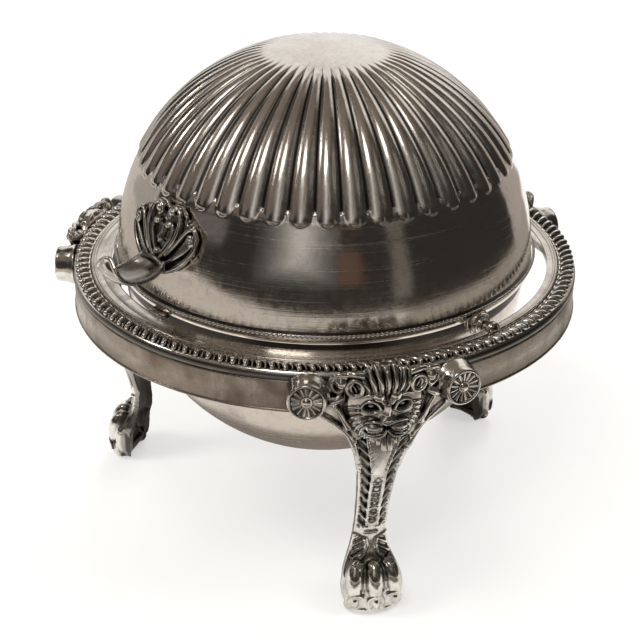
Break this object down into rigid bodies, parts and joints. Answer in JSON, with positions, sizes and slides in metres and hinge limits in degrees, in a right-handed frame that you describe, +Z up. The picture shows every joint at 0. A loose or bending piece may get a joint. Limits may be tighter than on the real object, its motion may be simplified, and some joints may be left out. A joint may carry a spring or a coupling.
{
  "type": "caviar dish",
  "caption": "Silver-plated globe caviar dish: fluted dome that revolves under its bowl, in a gadrooned ring on lion-mask cabriole legs, with a glass liner.",
  "frame": {"origin": "on the ring axis, at the plane that the three paws stand on", "axes": "+Z up; -Y towards the handle, which is the front; +X through the right-hand dome pivot"},
  "size_m": [0.1892, 0.1898, 0.1723],
  "materials": {
    "plate_band": "silver plate over nickel silver, worn satin with brown tarnish",
    "plate_cast": "cast and silver plated, dark tarnish left in the recesses",
    "plate_bright": "silver plate over nickel silver, polished, with light brown patina",
    "plate_fixing": "turned nickel silver, polished",
    "liner_glass": "clear pressed glass"
  },
  "bodies": {
    "stand": {"ring_band": "plate_band", "gadroon_border": "plate_cast", "shelf": "plate_bright", "bowl": "plate_band", "liner": "liner_glass", "leg_front_right": "plate_cast", "leg_back": "plate_cast", "leg_front_left": "plate_cast", "pivot_lug_right": "plate_cast", "pivot_bush_right": "plate_fixing", "pivot_washer_right": "plate_fixing", "pivot_nut_right": "plate_fixing", "pivot_pin_right": "plate_fixing", "pivot_lug_left": "plate_cast", "pivot_bush_left": "plate_fixing", "pivot_washer_left": "plate_fixing", "pivot_nut_left": "plate_fixing", "pivot_pin_left": "plate_fixing", "leg_rivet_1": "plate_fixing", "leg_rivet_2": "plate_fixing", "leg_rivet_3": "plate_fixing", "leg_rivet_4": "plate_fixing", "leg_rivet_5": "plate_fixing", "leg_rivet_6": "plate_fixing"},
    "dome": {"dome_shell": "plate_bright", "dome_bead": "plate_cast", "dome_ear_right": "plate_bright", "dome_ear_left": "plate_bright", "handle": "plate_cast"}
  },
  "joints": [
    {"name": "dome_pivot", "type": "hinge", "parent": "stand", "child": "dome", "pos_m": [0, 0, 0.0962], "axis": [-1, 0, 0], "range_deg": [0, 150]}
  ]
}
